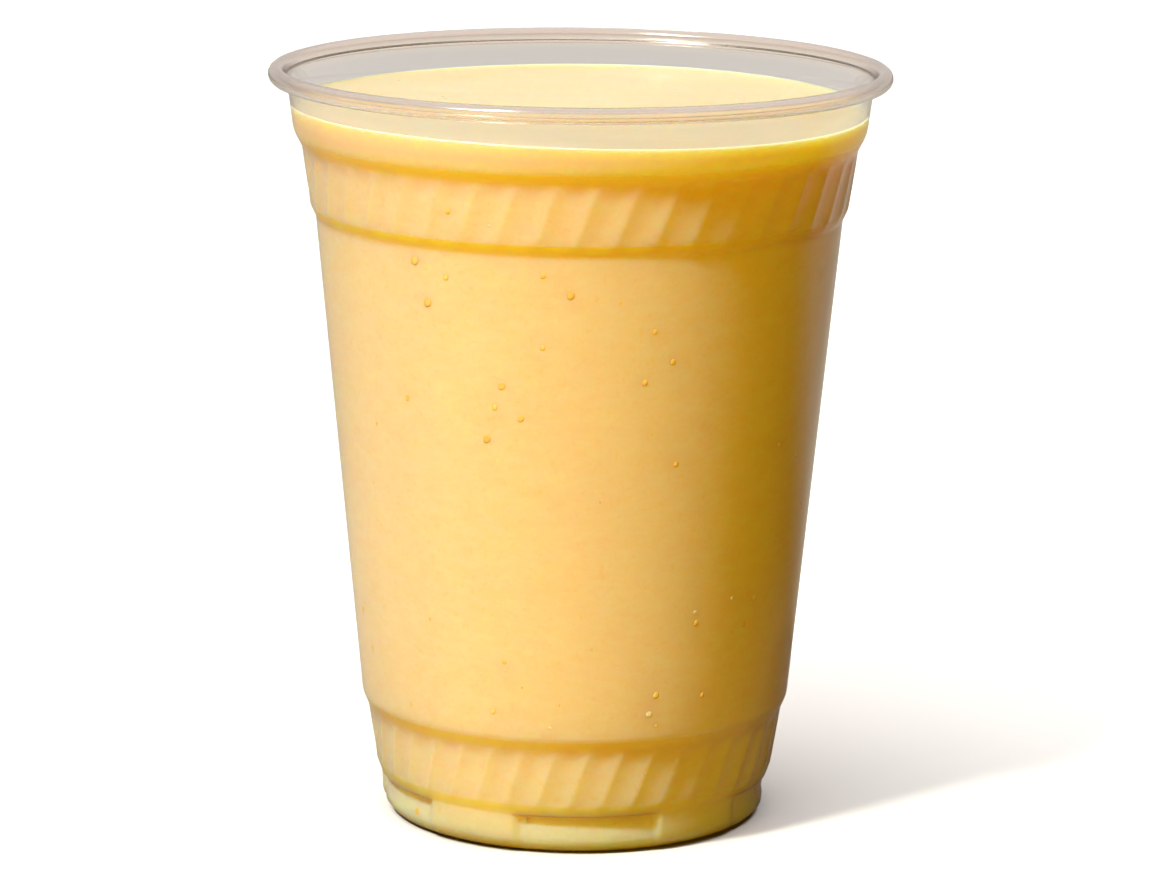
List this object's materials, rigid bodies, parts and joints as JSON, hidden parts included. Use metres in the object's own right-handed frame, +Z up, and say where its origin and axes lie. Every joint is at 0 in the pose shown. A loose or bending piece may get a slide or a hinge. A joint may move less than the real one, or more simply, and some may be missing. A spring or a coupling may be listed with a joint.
{
  "type": "mango smoothie in a clear cup",
  "caption": "Thick mango smoothie in a clear take-away cup: rolled rim, stepped ledges, bands of slanted shallow flutes and a lugged foot, filled nearly to the brim.",
  "frame": {"origin": "middle of the base, on the surface the cup stands on", "axes": "+Z up along the cup's axis; -Y is the front, the side the picture shows; +X is the right of the picture"},
  "size_m": [0.098, 0.098, 0.1198],
  "materials": {
    "cup_plastic": "clear thin thermoformed plastic, glossy, with a faint warm grey tint where two walls overlap",
    "smoothie": "thick blended mango drink, pale orange-yellow, satin and slightly translucent, with fine pulp specks"
  },
  "bodies": {
    "root": {"cup": "cup_plastic", "smoothie": "smoothie"}
  },
  "joints": []
}
